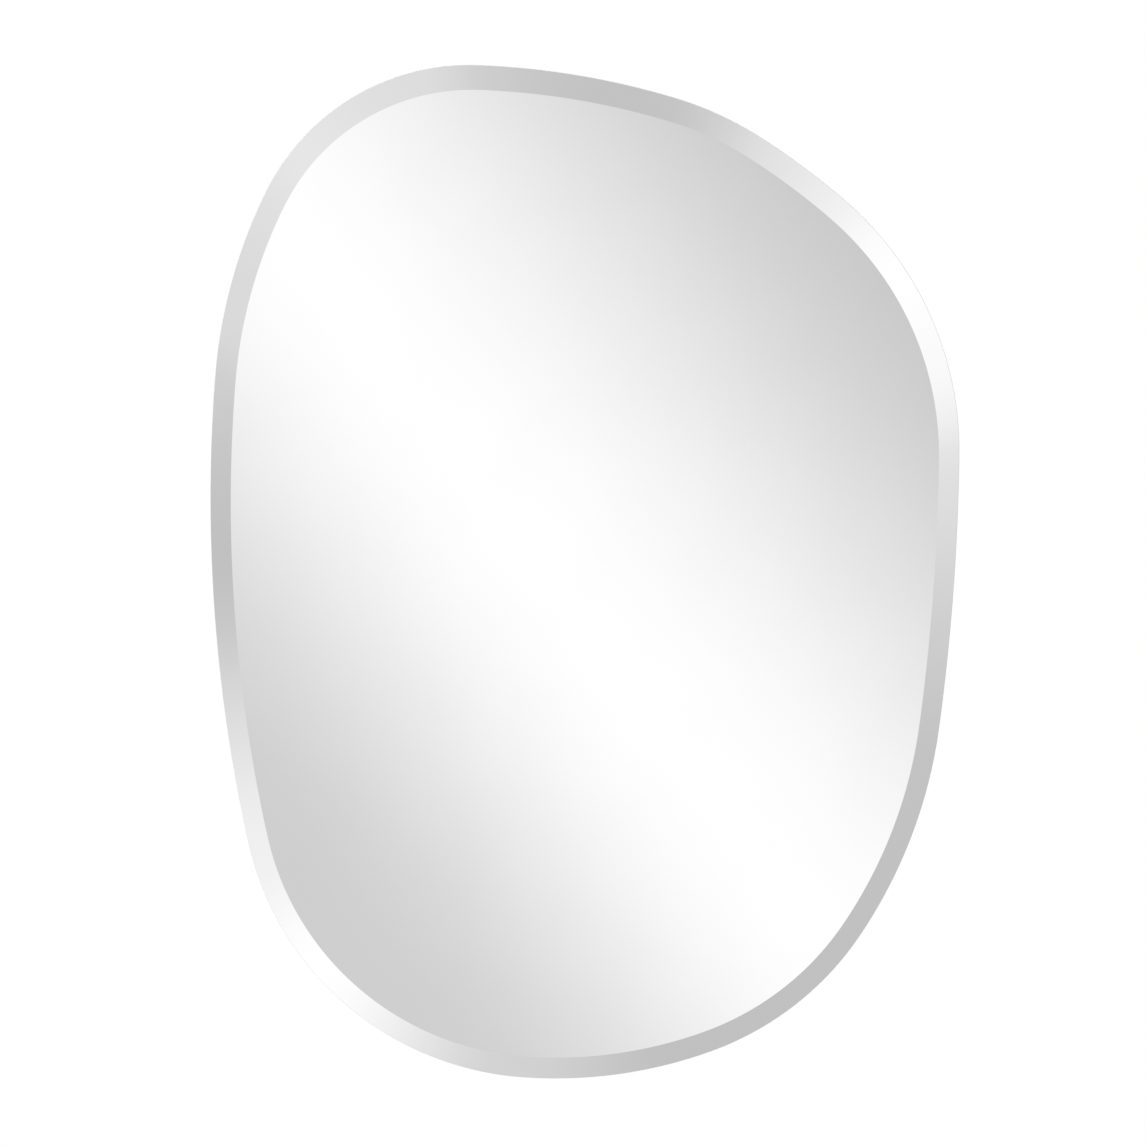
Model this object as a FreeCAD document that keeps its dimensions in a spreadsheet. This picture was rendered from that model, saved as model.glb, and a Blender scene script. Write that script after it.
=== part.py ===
"""A frameless wall mirror with an irregular rounded outline and a ground bevel.

The pane hangs in the XZ plane and faces -Y. The wall is the plane y = 0, and the
four rubber bumpers rest on it. X is to the right as seen from the front, Z is up,
and the origin is the middle of the outline on the wall. Lengths are millimetres.

From the front: bevelled glass, silver, backing paint, safety film, a layer of foam
tape and adhesive beads, and a fibreboard backing that carries four folded strap
hangers with swinging D-rings. Two hangers are for hanging the mirror upright and
two for hanging it on its side.
"""

import FreeCAD, Part
import math
import os

import Sketcher
from FreeCAD import Placement, Rotation, Vector

# The rim is a closed chain of arcs, each tangent to the next, named anticlockwise
# from the right. Every arc has a turn and a radius, except that the first arc's turn
# and the radii of CLOSING_ARCS are worked out so that the chain meets itself.
RIM = [
    "upper_right",
    "crown_right",
    "crown",
    "crown_left",
    "top_left",
    "shoulder",
    "left_side",
    "lower_left",
    "bottom",
    "lower_right",
    "right_flank",
    "right_side",
]
CLOSING_ARCS = ("top_left", "lower_left")
BUMPER_ARCS = ["upper_right", "top_left", "lower_left", "lower_right"]

# Coordinates that differ by less than this are the same.
SAME_PLACE = 1e-4

SIZES = {
    # rim: where the first arc is centred, then turns in degrees and radii
    "upper_right_centre_x": 39,
    "upper_right_centre_z": 115,
    "crown_right_turn": 8,
    "crown_turn": 16,
    "crown_left_turn": 14.5,
    "top_left_turn": 65,
    "shoulder_turn": 22,
    "left_side_turn": 17,
    "lower_left_turn": 74.5,
    "bottom_turn": 24.5,
    "lower_right_turn": 36,
    "right_flank_turn": 26,
    "right_side_turn": 7,
    "upper_right_radius": 295,
    "crown_right_radius": 653,
    "crown_radius": 304,
    "crown_left_radius": 693,
    "shoulder_radius": 453,
    "left_side_radius": 1434,
    "bottom_radius": 408,
    "lower_right_radius": 277,
    "right_flank_radius": 451,
    "right_side_radius": 2024,
    # pane: the bevel's inner line is the rim set in and then drawn in to a point below
    # the middle, so the bevel is about 18 mm wide at the sides and 21 mm at the top
    "glass_thickness": 5,
    "bevel_drop": 3,
    "bevel_inset": 11.6,
    "bevel_draw_in": 0.979,
    "bevel_draw_in_to_x": 16,
    "bevel_draw_in_to_z": -34,
    "back_arris": 0.5,
    # layers behind the glass
    "silver_thickness": 0.1,
    "paint_thickness": 0.15,
    "film_thickness": 0.25,
    "film_inset": 4,
    "bond_thickness": 1,
    # foam tape and adhesive beads in the bond
    "tape_width": 25,
    "side_tape_length": 420,
    "side_tape_spacing": 380,
    "end_tape_length": 200,
    "end_tape_spacing": 580,
    "bead_width": 9,
    "bead_length": 360,
    "bead_spacing": 95,
    # backing board
    "board_thickness": 9,
    "board_inset": 50,
    "board_chamfer": 2,
    # strap hanger: one strip folded double round the bar of its ring
    "strap_sheet": 1,
    "strap_width": 16,
    "strap_corner": 4,
    "fold_slope": 30,
    "screw_spacing": 22,
    "strap_end": 8,
    "strap_hole_play": 0.35,
    "fold_to_head": 2.2,
    # ring
    "wire_radius": 1.5,
    "ring_play": 0.1,
    "ring_side_gap": 0.5,
    "ring_bend": 3.5,
    "ring_to_head": 0.9,
    "ring_butt_gap": 0.3,
    "ring_lean": 2,
    # places of the hangers
    "top_hanger_spacing": 340,
    "top_hanger_height": 255,
    "side_hanger_spacing": 240,
    "side_hanger_reach": 235,
    # hanger screw
    "screw_length": 9,
    "screw_tip": 3.5,
    "shank_radius": 1.75,
    "pilot_play": 0.05,
    "pilot_spare": 0.5,
    "head_radius": 3.6,
    "head_height": 2.2,
    "head_edge": 0.7,
    "head_flat": 1.9,
    "recess_width": 0.9,
    "recess_span": 3.6,
    "recess_depth": 1.3,
    # bumpers
    "bumper_radius": 6.5,
    "bumper_height": 6.4,
    "bumper_rounding": 1.2,
    "bumper_margin": 30,
}

doc = FreeCAD.newDocument("irregular_mirror")
sheet = doc.addObject("Spreadsheet::Sheet", "sizes")
made = []


def put_in_sheet(name, content):
    """Writes a number or a formula in the sheet's next row and names the cell."""
    row = len(sheet.getUsedCells()) // 2 + 1
    sheet.set(f"A{row}", name)
    sheet.set(f"B{row}", str(content))
    sheet.setAlias(f"B{row}", name)


def read(name):
    return float(sheet.get(name))


def fill_sheet():
    for name, number in SIZES.items():
        put_in_sheet(name, number)
    turns = " - ".join(f"{arc}_turn" for arc in RIM[1:])
    put_in_sheet("upper_right_turn", f"=360 - {turns}")
    put_in_sheet("upper_right_faces", "=0")
    for before, arc in zip(RIM, RIM[1:]):
        put_in_sheet(f"{arc}_faces", f"={before}_faces + {before}_turn")
    close_rim()
    for before, arc in zip(RIM, RIM[1:]):
        step = f"({before}_radius - {arc}_radius)"
        put_in_sheet(
            f"{arc}_centre_x", f"={before}_centre_x + {step} * cos({arc}_faces * 1deg)"
        )
        put_in_sheet(
            f"{arc}_centre_z", f"={before}_centre_z + {step} * sin({arc}_faces * 1deg)"
        )
    stack_layers()
    size_hangers()


def close_rim():
    """Works out the radii of the two closing arcs from the chords of all the arcs."""
    for arc in RIM:
        start = f"{arc}_faces * 1deg"
        end = f"({arc}_faces + {arc}_turn) * 1deg"
        put_in_sheet(f"{arc}_run_x", f"=cos({end}) - cos({start})")
        put_in_sheet(f"{arc}_run_z", f"=sin({end}) - sin({start})")
    given = [arc for arc in RIM if arc not in CLOSING_ARCS]
    for way in "xz":
        terms = " + ".join(f"{arc}_radius * {arc}_run_{way}" for arc in given)
        put_in_sheet(f"open_run_{way}", f"={terms}")
    one, other = CLOSING_ARCS
    across = f"({one}_run_x * {other}_run_z - {one}_run_z * {other}_run_x)"
    put_in_sheet(
        f"{one}_radius",
        f"=(open_run_z * {other}_run_x - open_run_x * {other}_run_z) / {across}",
    )
    put_in_sheet(
        f"{other}_radius",
        f"=(open_run_x * {one}_run_z - open_run_z * {one}_run_x) / {across}",
    )


def stack_layers():
    """Distances from the wall to the rear of each layer, from the wall forwards."""
    put_in_sheet("board_rear", "=bumper_height")
    put_in_sheet("bond_rear", "=board_rear + board_thickness")
    put_in_sheet("film_rear", "=bond_rear + bond_thickness")
    put_in_sheet("paint_rear", "=film_rear + film_thickness")
    put_in_sheet("silver_rear", "=paint_rear + paint_thickness")
    put_in_sheet("glass_rear", "=silver_rear + silver_thickness")
    put_in_sheet("glass_front", "=glass_rear + glass_thickness")
    put_in_sheet("bevel_foot", "=glass_front - bevel_drop")


def size_hangers():
    """The strap fits the wire of its ring, and the ring folds down round a screw head."""
    put_in_sheet("fold_inside", "=wire_radius + ring_play")
    put_in_sheet("fold_outside", "=fold_inside + strap_sheet")
    put_in_sheet("fold_rise", "=fold_outside * (1 + cos(fold_slope * 1deg))")
    put_in_sheet("fold_drop", "=fold_outside * sin(fold_slope * 1deg)")
    slope = "tan(fold_slope * 1deg)"
    put_in_sheet("fold_end", f"=fold_drop + (fold_rise - 2 * strap_sheet) / {slope}")
    put_in_sheet("near_screw", "=fold_end + fold_to_head + head_radius")
    put_in_sheet("far_screw", "=near_screw + screw_spacing")
    put_in_sheet("strap_length", "=far_screw + strap_end")
    put_in_sheet("ring_half_bar", "=strap_width / 2 + ring_side_gap")
    put_in_sheet("ring_half_width", "=ring_half_bar + ring_bend")
    reach = "near_screw + head_radius + ring_to_head + wire_radius"
    put_in_sheet("ring_round_centre", f"={reach} - ring_half_width")


def new_body(name):
    body = doc.addObject("PartDesign::Body", name)
    body.Label = name
    made.append(body)
    return body


def new_sketch(body, name, plane_role, offset=None):
    """A sketch on one of the body's own planes, moved along its normal by a formula."""
    sketch = body.newObject("Sketcher::SketchObject", name)
    planes = [f for f in body.Origin.OriginFeatures if f.Role == plane_role]
    sketch.AttachmentSupport = [(planes[0], "")]
    sketch.MapMode = "FlatFace"
    if offset:
        sketch.setExpression("AttachmentOffset.Base.z", offset)
    return sketch


def size(sketch, name, kind, where, guess, formula):
    """A named dimension tied to the sheet. guess is where the solver starts."""
    index = sketch.addConstraint(Sketcher.Constraint(kind, *where, guess))
    sketch.renameConstraint(index, name)
    sketch.setExpression(f"Constraints.{name}", formula)


def pad(body, sketch, length, name="pad"):
    feature = body.newObject("PartDesign::Pad", name)
    feature.Profile = sketch
    feature.setExpression("Length", length)
    return feature


def edges_at(shape, axis, place):
    """Names of the edges that lie wholly at one coordinate, such as a face's outline."""
    names = []
    for number, edge in enumerate(shape.Edges, 1):
        box = edge.BoundBox
        low = getattr(box, f"{axis}Min")
        high = getattr(box, f"{axis}Max")
        if abs(low - place) < SAME_PLACE and abs(high - place) < SAME_PLACE:
            names.append(f"Edge{number}")
    return names


def dress(body, kind, base, edges, length):
    """A PartDesign Chamfer or Fillet on the base feature's edges."""
    feature = body.newObject(f"PartDesign::{kind}", kind.lower())
    feature.Base = (base, edges)
    feature.setExpression("Size" if kind == "Chamfer" else "Radius", length)
    return feature


def rim_sketch(body, name, offset, inset=None, draw_in=None):
    """The rim, set in by the size named inset and then drawn in by the one named draw_in."""
    sketch = new_sketch(body, name, "XZ_Plane", offset)
    scale = read(draw_in) if draw_in else 1.0
    inward = read(inset) if inset else 0.0
    times = f" * sizes.{draw_in}" if draw_in else ""
    less = f" - sizes.{inset}" if inset else ""

    def drawn_in(arc, way):
        """An arc's centre along x or z: the number, and the formula that gives it."""
        cell = f"{arc}_centre_{way}"
        if not draw_in:
            return read(cell), f"sizes.{cell}"
        middle = f"{draw_in}_to_{way}"
        place = read(middle) + (read(cell) - read(middle)) * scale
        return place, f"sizes.{middle} + (sizes.{cell} - sizes.{middle}){times}"

    for arc in RIM:
        centre = Vector(drawn_in(arc, "x")[0], drawn_in(arc, "z")[0], 0)
        radius = (read(f"{arc}_radius") - inward) * scale
        start = math.radians(read(f"{arc}_faces"))
        turn = math.radians(read(f"{arc}_turn"))
        circle = Part.Circle(centre, Vector(0, 0, 1), radius)
        sketch.addGeometry(Part.ArcOfCircle(circle, start, start + turn))
    for number, arc in enumerate(RIM):
        following = (number + 1) % len(RIM)
        sketch.addConstraint(Sketcher.Constraint("Tangent", number, 2, following, 1))
        radius = (read(f"{arc}_radius") - inward) * scale
        formula = f"(sizes.{arc}_radius{less}){times}"
        size(sketch, f"{arc}_radius", "Radius", (number,), radius, formula)
        if number % 2 == 0:
            for kind, way in (("DistanceX", "x"), ("DistanceY", "z")):
                place, formula = drawn_in(arc, way)
                size(sketch, f"{arc}_{way}", kind, (number, 3), place, formula)
    return sketch


def make_glass_pane():
    body = new_body("glass_pane")
    outline = rim_sketch(body, "pane_outline", "sizes.glass_rear")
    slab = pad(body, outline, "sizes.glass_thickness - sizes.bevel_drop")
    doc.recompute()
    back_edges = edges_at(slab.Shape, "Y", -read("glass_rear"))
    dress(body, "Chamfer", slab, back_edges, "sizes.back_arris")
    foot = rim_sketch(body, "bevel_foot", "sizes.bevel_foot")
    line = rim_sketch(
        body, "bevel_line", "sizes.glass_front", "bevel_inset", "bevel_draw_in"
    )
    bevel = body.newObject("PartDesign::AdditiveLoft", "ground_bevel")
    bevel.Profile = foot
    bevel.Sections = [line]
    bevel.Ruled = True


def make_layer(name, rear, thickness, inset):
    body = new_body(name)
    outline = rim_sketch(body, "outline", f"sizes.{rear}", inset)
    pad(body, outline, f"sizes.{thickness}")


def make_tape(name, across, up, across_size, up_size):
    """One strip of foam tape, centred across and up, between the film and the board."""
    strip = doc.addObject("Part::Box", name)
    strip.Label = name
    strip.setExpression("Length", f"sizes.{across_size}")
    strip.setExpression("Height", f"sizes.{up_size}")
    strip.setExpression("Width", "sizes.bond_thickness")
    strip.setExpression("Placement.Base.x", f"{across} - sizes.{across_size} / 2")
    strip.setExpression("Placement.Base.y", "-sizes.film_rear")
    strip.setExpression("Placement.Base.z", f"{up} - sizes.{up_size} / 2")
    made.append(strip)


def make_bead(name, across):
    """An adhesive bead pressed flat: a strip with round ends."""
    body = new_body(name)
    sketch = new_sketch(body, "outline", "XZ_Plane")
    half = read("bead_width") / 2
    reach = read("bead_length") / 2 - half
    up = Vector(0, 0, 1)
    top = Part.Circle(Vector(0, reach, 0), up, half)
    bottom = Part.Circle(Vector(0, -reach, 0), up, half)
    sketch.addGeometry(Part.ArcOfCircle(top, 0, math.pi))
    sketch.addGeometry(Part.LineSegment(Vector(-half, reach, 0), Vector(-half, -reach, 0)))
    sketch.addGeometry(Part.ArcOfCircle(bottom, math.pi, 2 * math.pi))
    sketch.addGeometry(Part.LineSegment(Vector(half, -reach, 0), Vector(half, reach, 0)))
    for number in range(4):
        following = (number + 1) % 4
        sketch.addConstraint(Sketcher.Constraint("Tangent", number, 2, following, 1))
    sketch.addConstraint(Sketcher.Constraint("Vertical", 1))
    sketch.addConstraint(Sketcher.Constraint("PointOnObject", 0, 3, -2))
    ends = "sizes.bead_length / 2 - sizes.bead_width / 2"
    size(sketch, "end_radius", "Radius", (0,), half, "sizes.bead_width / 2")
    size(sketch, "top", "DistanceY", (0, 3), reach, ends)
    size(sketch, "bottom", "DistanceY", (2, 3, -1, 1), reach, ends)
    pad(body, sketch, "sizes.bond_thickness")
    body.setExpression("Placement.Base.x", across)
    body.setExpression("Placement.Base.y", "-sizes.bond_rear")


def make_bond():
    """Foam tape holds the pane while the beads of adhesive cure."""
    for side, sign in (("left", "-"), ("right", "")):
        across = f"{sign}sizes.side_tape_spacing / 2"
        make_tape(f"foam_tape_{side}", across, "0", "tape_width", "side_tape_length")
    for end, sign in (("upper", ""), ("lower", "-")):
        up = f"{sign}sizes.end_tape_spacing / 2"
        make_tape(f"foam_tape_{end}", "0", up, "end_tape_length", "tape_width")
    for side, place in (("left", -1), ("middle", 0), ("right", 1)):
        make_bead(f"adhesive_bead_{side}", f"{place} * sizes.bead_spacing")


HANGERS = {
    # name: (formula for x, formula for z, turn about Y in degrees)
    "top_left": ("-sizes.top_hanger_spacing / 2", "sizes.top_hanger_height", 0),
    "top_right": ("sizes.top_hanger_spacing / 2", "sizes.top_hanger_height", 0),
    "side_upper": ("sizes.side_hanger_reach", "sizes.side_hanger_spacing / 2", 90),
    "side_lower": ("sizes.side_hanger_reach", "-sizes.side_hanger_spacing / 2", 90),
}
SCREWS = ["near", "far"]


def screw_place(hanger, screw):
    """Formulas for a screw's x and z. The strap runs away from its ring."""
    x, z, turn = HANGERS[hanger]
    if turn:
        return f"{x} - sizes.{screw}_screw", z
    return x, f"{z} - sizes.{screw}_screw"


def make_backing_board():
    body = new_body("backing_board")
    outline = rim_sketch(body, "outline", "sizes.board_rear", "board_inset")
    slab = pad(body, outline, "sizes.board_thickness")
    doc.recompute()
    rear_edges = edges_at(slab.Shape, "Y", -read("board_rear"))
    dress(body, "Chamfer", slab, rear_edges, "sizes.board_chamfer")
    pilots = new_sketch(body, "pilots", "XZ_Plane", "sizes.board_rear")
    radius = read("shank_radius") + read("pilot_play")
    apart = read("screw_spacing")
    places = [(hanger, screw) for hanger in HANGERS for screw in SCREWS]
    for number, (hanger, screw) in enumerate(places):
        x, z = screw_place(hanger, screw)
        start = Vector(apart * number, apart, 0)
        pilots.addGeometry(Part.Circle(start, Vector(0, 0, 1), radius))
        size(pilots, f"x{number}", "DistanceX", (number, 3), start.x, x)
        size(pilots, f"z{number}", "DistanceY", (number, 3), start.y, z)
        if number == 0:
            play = "sizes.shank_radius + sizes.pilot_play"
            size(pilots, "radius", "Radius", (number,), radius, play)
        else:
            pilots.addConstraint(Sketcher.Constraint("Equal", 0, number))
    holes = body.newObject("PartDesign::Pocket", "pilot_holes")
    holes.Profile = pilots
    holes.Reversed = True
    in_board = "sizes.screw_length - 2 * sizes.strap_sheet + sizes.pilot_spare"
    holes.setExpression("Length", in_board)


def outline_wire(points):
    """Straight edges through points, closed."""
    return [Part.LineSegment(a, b) for a, b in zip(points, points[1:] + points[:1])]


def close_corners(sketch, count):
    """Joins the sketch's straight edges end to end in a loop."""
    for number in range(count):
        following = (number + 1) % count
        sketch.addConstraint(Sketcher.Constraint("Coincident", number, 2, following, 1))


def place_on_board(body, x, z, turn, rise="0"):
    """Puts a body made about its own origin on the board's rear, turned about Y."""
    body.Placement = Placement(Vector(), Rotation(Vector(0, 1, 0), turn))
    body.setExpression("Placement.Base.x", x)
    body.setExpression("Placement.Base.y", f"{rise} - sizes.board_rear")
    body.setExpression("Placement.Base.z", z)


def strap_side(body):
    """The strap's side view. The fold is round the origin's x axis, off the board."""
    side = new_sketch(body, "side", "YZ_Plane")
    thick = read("strap_sheet")
    inside = read("fold_inside")
    outside = read("fold_outside")
    slope = math.radians(read("fold_slope"))
    end = -read("strap_length")
    axis = Vector(outside, 0, 0)
    away = Vector(math.cos(slope), -math.sin(slope), 0)
    down = Vector(-math.sin(slope), -math.cos(slope), 0)
    outer_top = axis + away * outside
    inner_top = axis + away * inside
    outer_foot = outer_top + down * ((outer_top.x - 2 * thick) / math.sin(slope))
    inner_foot = inner_top + down * ((inner_top.x - thick) / math.sin(slope))
    low_corner = Vector(0, end, 0)
    high_corner = Vector(2 * thick, end, 0)
    up = Vector(0, 0, 1)
    fold_start = 2 * math.pi - slope
    side.addGeometry(
        [
            Part.LineSegment(Vector(0, 0, 0), low_corner),
            Part.LineSegment(low_corner, high_corner),
            Part.LineSegment(high_corner, outer_foot),
            Part.LineSegment(outer_foot, outer_top),
            Part.ArcOfCircle(Part.Circle(axis, up, outside), fold_start, 3 * math.pi),
            Part.ArcOfCircle(Part.Circle(axis, up, inside), fold_start, 3 * math.pi),
            Part.LineSegment(inner_top, inner_foot),
            Part.LineSegment(inner_foot, Vector(thick, 0, 0)),
        ]
    )
    joined = [
        ("Coincident", 0, 2, 1, 1),
        ("Coincident", 1, 2, 2, 1),
        ("Coincident", 2, 2, 3, 1),
        ("Tangent", 3, 2, 4, 1),
        ("Tangent", 4, 2, 0, 1),
        ("Tangent", 5, 1, 6, 1),
        ("Coincident", 6, 2, 7, 1),
        ("Tangent", 7, 2, 5, 2),
        ("Coincident", 4, 3, 5, 3),
        ("Parallel", 3, 6),
        ("Vertical", 0),
        ("Horizontal", 1),
        ("Vertical", 2),
        ("PointOnObject", 4, 3, -1),
        ("PointOnObject", 0, 1, -2),
    ]
    for constraint in joined:
        side.addConstraint(Sketcher.Constraint(*constraint))
    size(side, "inside", "Radius", (5,), inside, "sizes.fold_inside")
    size(side, "outside", "Radius", (4,), outside, "sizes.fold_outside")
    size(side, "length", "DistanceY", (0, 2, 0, 1), -end, "sizes.strap_length")
    size(side, "doubled", "DistanceX", (1, 1, 1, 2), 2 * thick, "2 * sizes.strap_sheet")
    size(side, "slope_end", "DistanceY", (2, 2), outer_foot.y, "-sizes.fold_end")
    return side


def strap_holes(body):
    holes = new_sketch(body, "holes", "XZ_Plane")
    radius = read("shank_radius") + read("strap_hole_play")
    for number, screw in enumerate(SCREWS):
        centre = Vector(0, -read(f"{screw}_screw"), 0)
        holes.addGeometry(Part.Circle(centre, Vector(0, 0, 1), radius))
        holes.addConstraint(Sketcher.Constraint("PointOnObject", number, 3, -2))
        size(holes, screw, "DistanceY", (number, 3), centre.y, f"-sizes.{screw}_screw")
    play = "sizes.shank_radius + sizes.strap_hole_play"
    size(holes, "radius", "Radius", (0,), radius, play)
    holes.addConstraint(Sketcher.Constraint("Equal", 0, 1))
    return holes


def make_strap(hanger):
    """A strip folded double round the bar of its ring, with two holes through both."""
    x, z, turn = HANGERS[hanger]
    body = new_body(f"hanger_strap_{hanger}")
    strip = pad(body, strap_side(body), "sizes.strap_width")
    strip.Midplane = True
    doc.recompute()
    cut = body.newObject("PartDesign::Pocket", "screw_holes")
    cut.Profile = strap_holes(body)
    cut.Type = "ThroughAll"
    cut.Midplane = True
    doc.recompute()
    corners = [
        name
        for name in edges_at(cut.Shape, "Z", -read("strap_length"))
        if cut.Shape.getElement(name).BoundBox.XLength < SAME_PLACE
    ]
    dress(body, "Fillet", cut, corners, "sizes.strap_corner")
    place_on_board(body, x, z, turn)


def ring_path(body):
    """The wire's middle line: a D that leans towards the board about its bar."""
    path = new_sketch(body, "path", "XZ_Plane")
    path.AttachmentOffset = Placement(Vector(), Rotation(Vector(1, 0, 0), 1))
    path.setExpression("AttachmentOffset.Rotation.Angle", "sizes.ring_lean * 1deg")
    gap = read("ring_butt_gap") / 2
    bar = read("ring_half_bar")
    bend = read("ring_bend")
    wide = read("ring_half_width")
    round_centre = read("ring_round_centre")
    up = Vector(0, 0, 1)
    right_angle = math.pi / 2
    right_bend = Part.Circle(Vector(bar, bend, 0), up, bend)
    left_bend = Part.Circle(Vector(-bar, bend, 0), up, bend)
    rounded = Part.Circle(Vector(0, round_centre, 0), up, wide)
    path.addGeometry(
        [
            Part.LineSegment(Vector(gap, 0, 0), Vector(bar, 0, 0)),
            Part.ArcOfCircle(right_bend, -right_angle, 0),
            Part.LineSegment(Vector(wide, bend, 0), Vector(wide, round_centre, 0)),
            Part.ArcOfCircle(rounded, 0, math.pi),
            Part.LineSegment(Vector(-wide, round_centre, 0), Vector(-wide, bend, 0)),
            Part.ArcOfCircle(left_bend, math.pi, 3 * right_angle),
            Part.LineSegment(Vector(-bar, 0, 0), Vector(-gap, 0, 0)),
        ]
    )
    for number in range(6):
        path.addConstraint(Sketcher.Constraint("Tangent", number, 2, number + 1, 1))
    for number in (0, 6):
        path.addConstraint(Sketcher.Constraint("Horizontal", number))
    for number in (2, 4):
        path.addConstraint(Sketcher.Constraint("Vertical", number))
    path.addConstraint(Sketcher.Constraint("PointOnObject", 0, 1, -1))
    path.addConstraint(Sketcher.Constraint("PointOnObject", 6, 2, -1))
    path.addConstraint(Sketcher.Constraint("PointOnObject", 3, 3, -2))
    path.addConstraint(Sketcher.Constraint("Equal", 1, 5))
    size(path, "bend", "Radius", (1,), bend, "sizes.ring_bend")
    size(path, "bar_end", "DistanceX", (1, 3), bar, "sizes.ring_half_bar")
    size(path, "middle", "DistanceY", (3, 3), round_centre, "sizes.ring_round_centre")
    size(path, "right_end", "DistanceX", (0, 1), gap, "sizes.ring_butt_gap / 2")
    size(path, "left_end", "DistanceX", (6, 2), -gap, "-sizes.ring_butt_gap / 2")
    return path


def make_ring(hanger):
    """A D of round wire. Its bar turns in the strap's fold and its ends meet there."""
    x, z, turn = HANGERS[hanger]
    body = new_body(f"d_ring_{hanger}")
    radius = read("wire_radius")
    wire = new_sketch(body, "wire", "YZ_Plane", "sizes.ring_butt_gap / 2")
    wire.addGeometry(Part.Circle(Vector(0, 0, 0), Vector(0, 0, 1), radius))
    wire.addConstraint(Sketcher.Constraint("Coincident", 0, 3, -1, 1))
    size(wire, "radius", "Radius", (0,), radius, "sizes.wire_radius")
    bent = body.newObject("PartDesign::AdditivePipe", "bent_wire")
    bent.Profile = wire
    bent.Spine = ring_path(body)
    place_on_board(body, x, z, turn, "sizes.fold_outside")


def screw_profile(body):
    """Half of the screw's section. The head stands on y = 0 and the shank is below."""
    side = new_sketch(body, "half_section", "XY_Plane")
    shank = read("shank_radius")
    head = read("head_radius")
    points = [
        Vector(0, -read("screw_length"), 0),
        Vector(shank, read("screw_tip") - read("screw_length"), 0),
        Vector(shank, 0, 0),
        Vector(head, 0, 0),
        Vector(head, read("head_edge"), 0),
        Vector(read("head_flat"), read("head_height"), 0),
        Vector(0, read("head_height"), 0),
    ]
    side.addGeometry(outline_wire(points))
    close_corners(side, len(points))
    for number in (1, 3, 6):
        side.addConstraint(Sketcher.Constraint("Vertical", number))
    for number in (2, 5):
        side.addConstraint(Sketcher.Constraint("Horizontal", number))
    side.addConstraint(Sketcher.Constraint("PointOnObject", 0, 1, -2))
    side.addConstraint(Sketcher.Constraint("PointOnObject", 2, 1, -1))
    tip = read("screw_length")
    size(side, "tip", "DistanceY", (0, 1), -tip, "-sizes.screw_length")
    size(side, "taper", "DistanceY", (0, 1, 0, 2), read("screw_tip"), "sizes.screw_tip")
    size(side, "shank", "DistanceX", (1, 1), shank, "sizes.shank_radius")
    size(side, "head", "DistanceX", (3, 1), head, "sizes.head_radius")
    size(side, "edge", "DistanceY", (3, 2), read("head_edge"), "sizes.head_edge")
    size(side, "flat", "DistanceX", (4, 2), read("head_flat"), "sizes.head_flat")
    size(side, "height", "DistanceY", (4, 2), read("head_height"), "sizes.head_height")
    return side


def cross_outline(body):
    """The recess in the screw's head, an upright cross."""
    cross = new_sketch(body, "recess", "XZ_Plane", "-sizes.head_height")
    half = read("recess_width") / 2
    reach = read("recess_span") / 2
    corners = []
    for quarter in range(4):
        turn = Rotation(Vector(0, 0, 1), 90 * quarter)
        for x, y in ((reach, -half), (reach, half), (half, half)):
            corners.append(turn.multVec(Vector(x, y, 0)))
    cross.addGeometry(outline_wire(corners))
    close_corners(cross, len(corners))
    for number, corner in enumerate(corners):
        for way, value in (("X", corner.x), ("Y", corner.y)):
            name = "recess_span" if abs(value) > (half + reach) / 2 else "recess_width"
            sign = "-" if value < 0 else ""
            formula = f"{sign}sizes.{name} / 2"
            size(cross, f"{way}{number}", f"Distance{way}", (number, 1), value, formula)
    return cross


def make_screw(hanger, screw):
    """A pan-head wood screw on the strap, with its thread left plain."""
    x, z = screw_place(hanger, screw)
    body = new_body(f"hanger_screw_{hanger}_{screw}")
    side = screw_profile(body)
    turned = body.newObject("PartDesign::Revolution", "turned")
    turned.Profile = side
    turned.ReferenceAxis = (side, ["V_Axis"])
    turned.Angle = 360
    doc.recompute()
    recess = body.newObject("PartDesign::Pocket", "cross_recess")
    recess.Profile = cross_outline(body)
    recess.Reversed = True
    recess.setExpression("Length", "sizes.recess_depth")
    place_on_board(body, x, z, 0, "2 * sizes.strap_sheet")


def make_bumper(arc):
    """A rubber disc stuck to the board's rear, a set margin inside its edge."""
    body = new_body(f"wall_bumper_{arc}")
    sketch = new_sketch(body, "disc", "XZ_Plane")
    radius = read("bumper_radius")
    sketch.addGeometry(Part.Circle(Vector(0, 0, 0), Vector(0, 0, 1), radius))
    sketch.addConstraint(Sketcher.Constraint("Coincident", 0, 3, -1, 1))
    size(sketch, "radius", "Radius", (0,), radius, "sizes.bumper_radius")
    disc = pad(body, sketch, "sizes.bumper_height")
    doc.recompute()
    dress(body, "Fillet", disc, edges_at(disc.Shape, "Y", 0), "sizes.bumper_rounding")
    middle = f"(sizes.{arc}_faces + sizes.{arc}_turn / 2) * 1deg"
    reach = f"(sizes.{arc}_radius - sizes.board_inset - sizes.bumper_margin)"
    for way, wave in (("x", "cos"), ("z", "sin")):
        place = f"sizes.{arc}_centre_{way} + {reach} * {wave}({middle})"
        body.setExpression(f"Placement.Base.{way}", place)


def check_model():
    """Stops before anything is written if a feature failed or a solid is not valid."""
    failed = [o.Name for o in doc.Objects if {"Invalid", "Error"} & set(o.State)]
    if failed:
        raise RuntimeError(f"these features failed: {failed}")
    for piece in made:
        shape = piece.Shape
        if shape.isNull() or not shape.isValid() or len(shape.Solids) != 1:
            raise RuntimeError(f"{piece.Label} is not one valid solid")


def write_parts():
    os.makedirs("parts", exist_ok=True)
    for piece in made:
        piece.Shape.exportStep(f"parts/{piece.Label}.step")


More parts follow.
